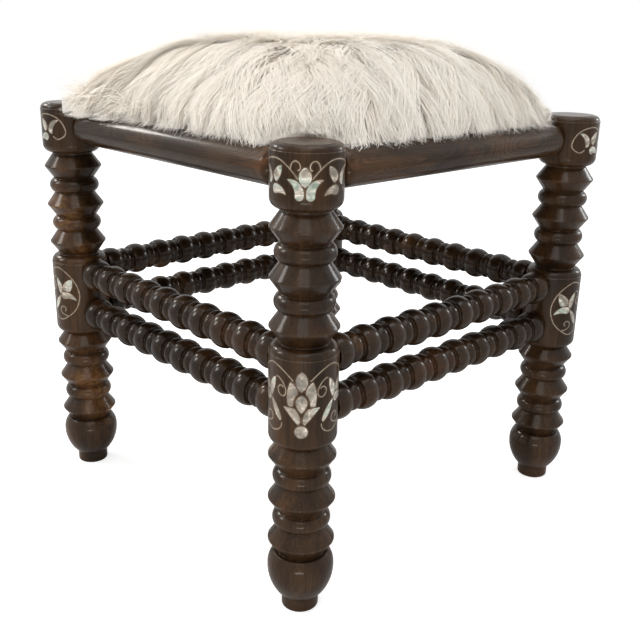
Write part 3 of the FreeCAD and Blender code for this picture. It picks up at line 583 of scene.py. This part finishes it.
# %% Helpers that write sums as nodes
def worked_out(tree, kind, operation, inputs):
    """A node that does one sum. inputs are pairs of an input's number and its value."""
    node = tree.nodes.new(kind)
    node.operation = operation
    for index, value in inputs:
        plug(node, index, value)
    return node


def number(tree, operation, *values):
    """A sum on numbers."""
    return worked_out(tree, "ShaderNodeMath", operation, enumerate(values)).outputs[0]


def vector(tree, operation, *values):
    """A sum on vectors. Only the dot product gives a number."""
    node = worked_out(tree, "ShaderNodeVectorMath", operation, enumerate(values))
    return node.outputs["Value" if operation == "DOT_PRODUCT" else "Vector"]


def times(tree, value, factor):
    """A vector made longer or shorter by a number. Scale keeps that number in input 3."""
    inputs = ((0, value), (3, factor))
    return worked_out(tree, "ShaderNodeVectorMath", "SCALE", inputs).outputs["Vector"]


def product(tree, *values):
    """Numbers multiplied together."""
    result = values[0]
    for value in values[1:]:
        result = number(tree, "MULTIPLY", result, value)
    return result


def total(tree, *values):
    """Vectors added together."""
    result = values[0]
    for value in values[1:]:
        result = vector(tree, "ADD", result, value)
    return result


def component(tree, value, axis):
    """One number of a vector."""
    node = tree.nodes.new("ShaderNodeSeparateXYZ")
    plug(node, 0, value)
    return node.outputs[axis]


def stored(tree, geometry, name, value, kind):
    """The geometry with a named value kept on it."""
    node = tree.nodes.new("GeometryNodeStoreNamedAttribute")
    node.data_type = kind
    for index, given in ((0, geometry), ("Name", name), (3, value)):
        plug(node, index, given)
    return node.outputs["Geometry"]


def named(tree, name, kind):
    """A value that was kept on the geometry."""
    node = tree.nodes.new("GeometryNodeInputNamedAttribute")
    node.data_type = kind
    plug(node, "Name", name)
    return node.outputs["Attribute"]


def random_vector(tree, seed):
    """Three random numbers from 0 to 1 for each point."""
    node = tree.nodes.new("FunctionNodeRandomValue")
    node.data_type = "FLOAT_VECTOR"
    plug(node, "Seed", seed)
    return node.outputs[0]


def graded(tree, value, start, end):
    """A smooth change from 0 to 1 as the value goes from start to end."""
    node = add(tree, "MapRange", {"Value": value}, interpolation_type="SMOOTHSTEP",
               From_Min=start, From_Max=end)
    return node.outputs[0]


def nearest(tree, surface, value, place):
    """A value of the pad at the place on it that is nearest."""
    node = tree.nodes.new("GeometryNodeSampleNearestSurface")
    node.data_type = "FLOAT_VECTOR"
    for index, given in ((0, surface), ("Value", value), ("Sample Position", place)):
        plug(node, index, given)
    return node.outputs["Value"]


print("node helpers ready")

# %% The fur's tree
# Inputs of the tree, with the values that a layer has unless it says otherwise, in metres
FUR_INPUTS = (
    ("Density", "Float", 60000.0), ("Length", "Float", 0.05), ("Width", "Float", 0.001),
    ("Height", "Float", 0.009), ("Lock Size", "Float", 0.02), ("Lock Pull", "Float", 0.6),
    ("Bend", "Float", 0.8), ("Droop", "Float", 0.4), ("Rest Height", "Float", 0.44),
    ("Flop", "Float", 0.03), ("Steps", "Int", 8), ("Seed", "Int", 1),
)
DOWN = (0.0, 0.0, -1.0)
UP = (0.0, 0.0, 1.0)
MIDDLE = (0.5, 0.5, 0.5)
WHORL = (-0.16, 0.15, 0.0)
# The corner that the fur flops over, and the path of its tips there
FLOP_SIDE = (-0.7071, -0.7071, 0.0)
FLOP_PATH = (-0.7071, -0.7071, 0.25)
# The combed direction: pulls towards that corner and down, and each lock's own turn
SIDE_PULL = 2.2
DOWN_PULL = (0.0, 0.0, -1.1)
DOWN_PULL_LOST = -0.7
LOCK_TURN = 0.4
SWAY_SCALE = 7.0
# Metres along the diagonal where the side pull, the flop and the far corner start and end
SIDE_ZONE = (-0.02, 0.17)
FLOP_ZONE = (0.15, 0.24)
FAR_ZONE = (-0.12, -0.24)
# Lengths: a strand's own share as slope and start, the least length in metres, and how far below
# its rest a tip may reach
OWN_LENGTH = (0.5, 0.75)
SHORTEST = 0.012
TIP_BELOW_REST = 0.004
# Waves along a lock: how far the sine turns, how far its start differs, and its width
WAVE_TURN = 4.6
WAVE_START = 9.0
WAVE_WIDTH = 0.3
# Metres that a loose tip strays sideways, and that the few wildest ones stand up
STRAY = 0.014
WILD = 0.014
WILD_POWER = 16.0
# Heights over the pad, as shares of a layer's height: by strand, by lock, and at two corners.
# The last two are metres: the least height, and how much the lowest rest differs by strand.
STRAND_RISE = 0.3
LOCK_RISE = (0.5, 1.05)
FLOP_CORNER_RISE = 1.5
FAR_CORNER_RISE = -0.7
LEAST_RISE = 0.0004
REST_SPREAD = 0.007
# Powers that shape a strand from root to tip: its run, the pull to its lock, its rise
RUN_POWER = 1.1
PULL_POWER = 0.8
RISE_POWER = 0.6
# The width of a strand falls to nothing just past its tip
TAPER_END = 1.02
LOCK_TONE = 0.6


def fur_tree():
    """The tree that grows combed fur on a pad."""
    tree = bpy.data.node_groups.new("combed_fur", "GeometryNodeTree")
    face = tree.interface
    face.new_socket("Pad", in_out="INPUT", socket_type="NodeSocketGeometry")
    for name, kind, value in FUR_INPUTS:
        face.new_socket(name, in_out="INPUT", socket_type="NodeSocket" + kind).default_value = value
    face.new_socket("Fur", in_out="OUTPUT", socket_type="NodeSocketGeometry")
    given = tree.nodes.new("NodeGroupInput").outputs
    surface = given["Pad"]

    # Roots all over the pad but its underside, each with its place, its normal and its chance
    scatter = tree.nodes.new("GeometryNodeDistributePointsOnFaces")
    for index, value in ((0, surface), ("Density", given["Density"]), ("Seed", given["Seed"])):
        plug(scatter, index, value)
    face_up = component(tree, tree.nodes.new("GeometryNodeInputNormal").outputs[0], 2)
    plug(scatter, 1, number(tree, "GREATER_THAN", face_up, -0.5))
    here = tree.nodes.new("GeometryNodeInputPosition").outputs[0]
    roots = stored(tree, scatter.outputs["Points"], "root", here, "FLOAT_VECTOR")
    roots = stored(tree, roots, "skin", scatter.outputs["Normal"], "FLOAT_VECTOR")
    roots = stored(tree, roots, "chance", random_vector(tree, 5), "FLOAT_VECTOR")

    # A ribbon on each root, from -0.5 to 0.5 along its own y
    ribbon = tree.nodes.new("GeometryNodeMeshGrid")
    for index, value in ((0, 1.0), (1, 1.0), (2, 2), (3, given["Steps"])):
        plug(ribbon, index, value)
    strip = stored(tree, ribbon.outputs["Mesh"], "strip", here, "FLOAT_VECTOR")
    instance = tree.nodes.new("GeometryNodeInstanceOnPoints")
    plug(instance, 0, roots)
    plug(instance, "Instance", strip)
    realize = tree.nodes.new("GeometryNodeRealizeInstances")
    plug(realize, 0, instance.outputs[0])

    root = named(tree, "root", "FLOAT_VECTOR")
    skin = named(tree, "skin", "FLOAT_VECTOR")
    chance = named(tree, "chance", "FLOAT_VECTOR")
    strip_at = named(tree, "strip", "FLOAT_VECTOR")
    along_it = number(tree, "ADD", component(tree, strip_at, 1), 0.5)
    across_it = component(tree, strip_at, 0)

    # Locks: each cell of a pattern gathers its roots to one point, and has its own chance and sway
    cells = tree.nodes.new("ShaderNodeTexVoronoi")
    plug(cells, 0, root)
    plug(cells, "Scale", number(tree, "DIVIDE", 1.0, given["Lock Size"]))
    lock = cells.outputs["Position"]
    lock_chance = vector(tree, "SUBTRACT", cells.outputs["Color"], MIDDLE)
    slow = tree.nodes.new("ShaderNodeTexNoise")
    for index, value in ((0, lock), ("Scale", SWAY_SCALE), ("Detail", 2.0)):
        plug(slow, index, value)
    sway = vector(tree, "SUBTRACT", slow.outputs["Color"], MIDDLE)

    # The combed direction, flat on the pad
    from_whorl = vector(tree, "MULTIPLY", vector(tree, "SUBTRACT", root, WHORL), (1.0, 1.0, 0.0))
    outward = vector(tree, "NORMALIZE", from_whorl)
    to_side = vector(tree, "DOT_PRODUCT", root, FLOP_SIDE)
    sideways = graded(tree, to_side, *SIDE_ZONE)
    at_corner = graded(tree, to_side, *FLOP_ZONE)
    far_corner = graded(tree, to_side, *FAR_ZONE)
    side_pull = times(tree, FLOP_SIDE, product(tree, sideways, SIDE_PULL))
    down_share = number(tree, "MULTIPLY_ADD", sideways, DOWN_PULL_LOST, 1.0)
    wish = total(tree, outward, side_pull, times(tree, DOWN_PULL, down_share), sway,
                 times(tree, lock_chance, LOCK_TURN))
    upright = vector(tree, "DOT_PRODUCT", wish, skin)
    combed = vector(tree, "NORMALIZE", vector(tree, "SUBTRACT", wish, times(tree, skin, upright)))
    beside = vector(tree, "CROSS_PRODUCT", skin, combed)

    # The length of each strand, which ends before it would hang below the rest height
    own = number(tree, "MULTIPLY_ADD", component(tree, chance, 0), *OWN_LENGTH)
    steepness = number(tree, "MAXIMUM", component(tree, times(tree, combed, -1.0), 2), 0.0)
    room = number(tree, "SUBTRACT", component(tree, root, 2), given["Rest Height"])
    longest = number(tree, "DIVIDE", number(tree, "ADD", room, TIP_BELOW_REST),
                     number(tree, "ADD", steepness, given["Droop"]))
    length = number(tree, "MINIMUM", product(tree, given["Length"], own),
                    number(tree, "MAXIMUM", longest, SHORTEST))

    # Where each point would lie in free air: combed, waved, drawn to its lock, strayed and hung
    late = product(tree, along_it, along_it)
    run = product(tree, length, number(tree, "POWER", along_it, RUN_POWER))
    wave_start = product(tree, component(tree, lock_chance, 1), WAVE_START)
    swing = number(tree, "SINE", number(tree, "MULTIPLY_ADD", along_it, WAVE_TURN, wave_start))
    wave_width = product(tree, given["Bend"], product(tree, length, WAVE_WIDTH))
    curl = product(tree, product(tree, swing, along_it), wave_width)
    to_lock = vector(tree, "SUBTRACT", lock, root)
    flat_lock = vector(tree, "SUBTRACT", to_lock,
                       times(tree, skin, vector(tree, "DOT_PRODUCT", to_lock, skin)))
    pull = product(tree, given["Lock Pull"], number(tree, "POWER", along_it, PULL_POWER))
    stray = times(tree, vector(tree, "SUBTRACT", chance, MIDDLE), product(tree, late, STRAY))
    droop = product(tree, length, given["Droop"], late)
    flop = product(tree, given["Flop"], late, at_corner)
    free = total(tree, root, times(tree, combed, run), times(tree, beside, curl),
                 times(tree, flat_lock, pull), stray, times(tree, DOWN, droop),
                 times(tree, FLOP_PATH, flop))

    # Lifted to its height over the pad, and never below its rest
    on_pad = nearest(tree, surface, here, free)
    pad_normal = tree.nodes.new("GeometryNodeInputNormal").outputs[0]
    facing = vector(tree, "NORMALIZE", nearest(tree, surface, pad_normal, free))
    above = vector(tree, "DOT_PRODUCT", vector(tree, "SUBTRACT", free, on_pad), facing)
    rise = number(tree, "POWER", along_it, RISE_POWER)
    lock_rise = number(tree, "MULTIPLY_ADD", component(tree, lock_chance, 2), *LOCK_RISE)
    layer = number(tree, "MULTIPLY_ADD", component(tree, chance, 2), STRAND_RISE, lock_rise)
    fullness = number(tree, "MULTIPLY_ADD", far_corner, FAR_CORNER_RISE,
                      number(tree, "MULTIPLY_ADD", at_corner, FLOP_CORNER_RISE, 1.0))
    wild = product(tree, number(tree, "POWER", component(tree, chance, 0), WILD_POWER),
                   product(tree, late, WILD))
    lift = number(tree, "MULTIPLY_ADD", product(tree, given["Height"], fullness),
                  product(tree, rise, layer), wild)
    held_above = number(tree, "MAXIMUM", above, number(tree, "ADD", lift, LEAST_RISE))
    pressed = total(tree, free, times(tree, facing, number(tree, "SUBTRACT", held_above, above)))
    lowest = number(tree, "MULTIPLY_ADD", component(tree, chance, 1), REST_SPREAD,
                    given["Rest Height"])
    sunk = number(tree, "SUBTRACT", lowest, component(tree, pressed, 2))
    rested = total(tree, pressed, times(tree, UP, number(tree, "MAXIMUM", sunk, 0.0)))
    taper = number(tree, "SQRT", number(tree, "SUBTRACT", TAPER_END, along_it))
    placed = total(tree, rested,
                   times(tree, beside, product(tree, across_it, given["Width"], taper)))

    # The ribbons, with the two values that their material reads
    move = tree.nodes.new("GeometryNodeSetPosition")
    plug(move, 0, realize.outputs[0])
    plug(move, "Position", placed)
    result = stored(tree, move.outputs[0], "tip", along_it, "FLOAT")
    tone = number(tree, "MULTIPLY_ADD", component(tree, lock_chance, 0), LOCK_TONE,
                  component(tree, chance, 1))
    result = stored(tree, result, "tone", tone, "FLOAT")
    paint = tree.nodes.new("GeometryNodeSetMaterial")
    plug(paint, 0, result)
    plug(paint, "Material", bpy.data.materials["fur_strands"])
    plug(tree.nodes.new("NodeGroupOutput"), 0, paint.outputs[0])
    return tree


# %% [markdown]
# A strand is nearly white, warmer at its root, and lets some light through. The two values that
# the tree stored on each strand, how far along it is and its own tone, tint it.

# %% The fur's materials
FUR_ROOT = (0.89, 0.82, 0.73)
FUR_BODY = (0.95, 0.905, 0.84)
FUR_TIP = (0.97, 0.94, 0.89)
FUR_THROUGH = 0.4
SKIN_DARK = (0.8, 0.73, 0.64)
SKIN_PALE = (0.92, 0.86, 0.78)
BACKING_DARK = (0.5, 0.44, 0.36)
BACKING_PALE = (0.72, 0.66, 0.57)
DUST_DARK = (0.006, 0.006, 0.007)
DUST_PALE = (0.03, 0.03, 0.032)
THREAD_WAVES = 380.0


def fur_strands():
    """Hair, which the tree of the fur finds by this material's name."""
    material, tree, shader = new_material("fur_strands")
    tip = add(tree, "Attribute", attribute_name="tip").outputs["Fac"]
    tone = add(tree, "Attribute", attribute_name="tone").outputs["Fac"]
    along_strand = ramp(tree, tip, ((0.0, FUR_ROOT), (0.3, FUR_BODY), (1.0, FUR_TIP)))
    shade = ramp(tree, tone, ((0.0, 0.92), (0.6, 1.0), (1.0, 1.03)))
    colour = mixed(tree, along_strand, shade, 1.0, "MULTIPLY")
    plug(shader, "Base Color", colour)
    plug(shader, "Roughness", 0.55)
    plug(shader, "Specular IOR Level", 0.3)
    through = add(tree, "BsdfTranslucent", {"Color": colour})
    blend = add(tree, "MixShader", {1: shader.outputs[0], 2: through.outputs[0]})
    plug(blend, 0, FUR_THROUGH)
    plug(tree.nodes["Material Output"], "Surface", blend.outputs[0])
    return material


def fur_skin():
    """The short nap under the strands."""
    material, tree, shader = new_material("fur_skin")
    nap = stretched_noise(tree, (700.0, 700.0, 300.0), 4.0)
    plug(shader, "Base Color", ramp(tree, nap, ((0.3, SKIN_DARK), (0.7, SKIN_PALE))))
    plug(shader, "Roughness", 0.9)
    bump(tree, shader, nap, 0.5, 0.001)
    return material


def woven(name, dark, pale):
    """Plain cloth: one set of waves across another."""
    material, tree, shader = new_material(name)
    place = add(tree, "TexCoord").outputs["Object"]
    warp, weft = [add(tree, "TexWave", {"Vector": place}, bands_direction=direction,
                      Scale=THREAD_WAVES, Distortion=1.0).outputs["Fac"]
                  for direction in ("X", "Y")]
    weave = product(tree, warp, weft)
    plug(shader, "Base Color", ramp(tree, weave, ((0.0, dark), (0.6, pale))))
    plug(shader, "Roughness", 0.9)
    bump(tree, shader, weave, 0.4, 0.0004)
    return material


fur_strands()
pad.data.materials.append(fur_skin())
skirt.data.materials.append(woven("backing_cloth", BACKING_DARK, BACKING_PALE))
finish_nodes(woven("dust_cloth", DUST_DARK, DUST_PALE), ["dust_cover"])
print("fur and cloth finished")

# %% Grow the fur
LAYERS = (
    # name, and what differs from the tree's own values
    ("fur_undercoat", {"Density": 52000.0, "Length": 0.034, "Width": 0.0022, "Height": 0.005,
                       "Steps": 6, "Seed": 3}),
    ("fur_layer_a", {"Density": 50000.0, "Length": 0.05, "Height": 0.008, "Lock Pull": 0.4,
                     "Width": 0.0014, "Seed": 11}),
    ("fur_layer_b", {"Density": 50000.0, "Length": 0.056, "Height": 0.0093, "Lock Pull": 0.45,
                     "Width": 0.0013, "Seed": 12}),
    ("fur_layer_c", {"Density": 50000.0, "Length": 0.06, "Height": 0.0105, "Lock Pull": 0.6,
                     "Width": 0.0011, "Seed": 13}),
    ("fur_layer_d", {"Density": 50000.0, "Length": 0.064, "Height": 0.0115, "Lock Pull": 0.7,
                     "Width": 0.0009, "Seed": 14}),
)
FUR_GAP = 0.0006
CAP_LIFT = 0.0012
CAP_DIP = 0.014
# How far the fur reaches above the pad, and along the diagonal towards each corner, and how much
# of what goes past that is taken back
CROWN_REACH = 0.017
CROWN_HOLD = 0.8
CORNER_REACH = (((1, -1), 0.262), ((1, 1), 0.258), ((-1, 1), 0.264), ((-1, -1), 0.292))
CORNER_HOLD = 0.85


def laid_on_caps(points):
    """Lift points that dip a little into a cap's top, and move deeper ones out past its side."""
    low, high = CAP_TOP - CAP_DIP, CAP_TOP + CAP_DIP
    for centre in CAP_CENTRES:
        away = points[:, :2] - centre
        near = numpy.hypot(away[:, 0], away[:, 1]) < CAP_RADIUS + CAP_LIFT
        laid = near & (points[:, 2] > low) & (points[:, 2] < high)
        share = (points[laid, 2] - low) / (high - low)
        points[laid, 2] = CAP_TOP + CAP_LIFT + share * (CAP_DIP - CAP_LIFT)
    return clear_of_caps(points, FUR_GAP, 0.0)


def held_back(points):
    """Press the fur back where it would go past its reach at the crown or at a corner."""
    points[:, 2] -= numpy.maximum(points[:, 2] - PAD_TOP - CROWN_REACH, 0) * CROWN_HOLD
    for signs, reach in CORNER_REACH:
        diagonal = numpy.array(signs) / math.sqrt(2)
        beyond = numpy.maximum(points[:, :2] @ diagonal - reach, 0)
        points[:, :2] -= (beyond * CORNER_HOLD)[:, None] * diagonal
    return points


group = fur_tree()
sockets = {item.name: item.identifier for item in group.interface.items_tree
           if item.item_type == "SOCKET" and item.in_out == "INPUT"}
furs = []
for name, values in LAYERS:
    grown = in_scene(name, pad.data.copy())
    modifier = grown.modifiers.new("fur", "NODES")
    modifier.node_group = group
    for key, value in values.items():
        modifier[sockets[key]] = value
    fur = baked(grown, name)
    set_points(fur, laid_on_caps(clear_of_rails(held_back(points_of(fur)), FUR_GAP)))
    furs.append(fur)
    print(name, len(fur.data.polygons) * 2, "triangles")

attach(pad, "root")
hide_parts("fur_cover", "foam_pad")
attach(skirt, "root")
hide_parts("fur_cover")
for fur in furs:
    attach(fur, "root")
print("pieces declared")

# %% [markdown]
# The camera stands where the photograph was taken from. Two lamps on the left give the long
# highlights on the left rail and shade the fur, one behind lights its rim, a wide one overhead and
# a wide one in front light the seat softly, and a low strip shows the feet. The white room around
# fills the rest.

# %% Camera
AZIMUTH, ELEVATION, ROLL = math.radians(46.33128), math.radians(18.94072), math.radians(1.312572)
CAMERA_PLACE = (0.739289, -0.695917, 0.546047)
FOCAL_LENGTH = 49.18
SENSOR_WIDTH = 36

back = Vector((math.sin(AZIMUTH) * math.cos(ELEVATION), -math.cos(AZIMUTH) * math.cos(ELEVATION),
               math.sin(ELEVATION)))
right = Vector((math.cos(AZIMUTH), math.sin(AZIMUTH), 0))
up = back.cross(right)
across = right * math.cos(ROLL) + up * math.sin(ROLL)
upward = up * math.cos(ROLL) - right * math.sin(ROLL)
camera = in_scene("camera", bpy.data.cameras.new("camera"))
camera.data.lens = FOCAL_LENGTH
camera.data.sensor_width = SENSOR_WIDTH
camera.matrix_world = (Matrix.Translation(CAMERA_PLACE)
                       @ Matrix((across, upward, back)).transposed().to_4x4())
bpy.context.scene.camera = camera
bpy.context.scene.view_settings.view_transform = "Standard"
print("camera at", CAMERA_PLACE)

# %% Lamps, floor and white surroundings
LAMP_TARGET = Vector((0.0, 0.0, 0.3))
ROOM_LIGHT = 0.66
FLOOR_REACH = 3.0
FLOOR_GLOW = 0.6


def lamp(name, place, size, watts, colour):
    """A rectangular lamp that faces the stool."""
    data = bpy.data.lights.new(name, "AREA")
    data.shape = "RECTANGLE"
    data.size, data.size_y = size
    data.energy = watts
    data.color = colour
    thing = in_scene(name, data)
    thing.location = place
    thing.rotation_euler = (Vector(place) - LAMP_TARGET).to_track_quat("Z", "Y").to_euler()


lamp("key_lamp", (-1.1, -1.35, 1.3), (0.4, 0.55), 9.5, (1.0, 0.97, 0.93))
lamp("left_lamp", (-1.6, -0.45, 1.3), (0.45, 0.3), 10.5, (1.0, 0.97, 0.92))
lamp("back_lamp", (0.5, 1.95, 1.0), (0.4, 0.4), 6.5, (0.93, 0.97, 1.0))
lamp("top_lamp", (0.3, 0.0, 2.0), (1.2, 1.2), 12.0, (0.98, 0.99, 1.0))
lamp("front_lamp", (0.85, -0.95, 1.7), (0.9, 0.9), 4.5, (1.0, 0.99, 0.97))
lamp("low_lamp", (0.95, -0.95, 0.08), (0.5, 0.1), 2.0, (1.0, 0.98, 0.95))

world = bpy.data.worlds.new("white_room")
bpy.context.scene.world = world
world.use_nodes = True
sky = world.node_tree
rays = add(sky, "LightPath").outputs
white_rays = number(sky, "MAXIMUM", rays["Is Camera Ray"],
                    number(sky, "MAXIMUM", rays["Is Glossy Ray"], rays["Is Transmission Ray"]))
seen = add(sky, "MapRange", {"Value": white_rays}, To_Min=ROOM_LIGHT, To_Max=1.0)
plug(sky.nodes["Background"], "Strength", seen.outputs[0])
plug(sky.nodes["Background"], "Color", (1.0, 1.0, 1.0, 1.0))

floor_mesh = bpy.data.meshes.new("floor")
floor_mesh.from_pydata([(-FLOOR_REACH, -FLOOR_REACH, 0), (FLOOR_REACH, -FLOOR_REACH, 0),
                        (FLOOR_REACH, FLOOR_REACH, 0), (-FLOOR_REACH, FLOOR_REACH, 0)], [],
                       [(0, 1, 2, 3)])
floor = in_scene("floor", floor_mesh)
floor_paint, tree, shader = new_material("white_floor")
dust = stretched_noise(tree, (3.0, 3.0, 3.0), 2.0)
plug(shader, "Base Color", ramp(tree, dust, ((0.2, 0.78), (0.8, 0.84))))
plug(shader, "Roughness", 0.9)
camera_ray = add(tree, "LightPath").outputs["Is Camera Ray"]
glow = add(tree, "Emission", {"Strength": product(tree, camera_ray, FLOOR_GLOW)})
both = add(tree, "AddShader", {0: shader.outputs[0], 1: glow.outputs[0]})
plug(tree.nodes["Material Output"], "Surface", both.outputs[0])
floor_mesh.materials.append(floor_paint)
print("lamps and floor ready")
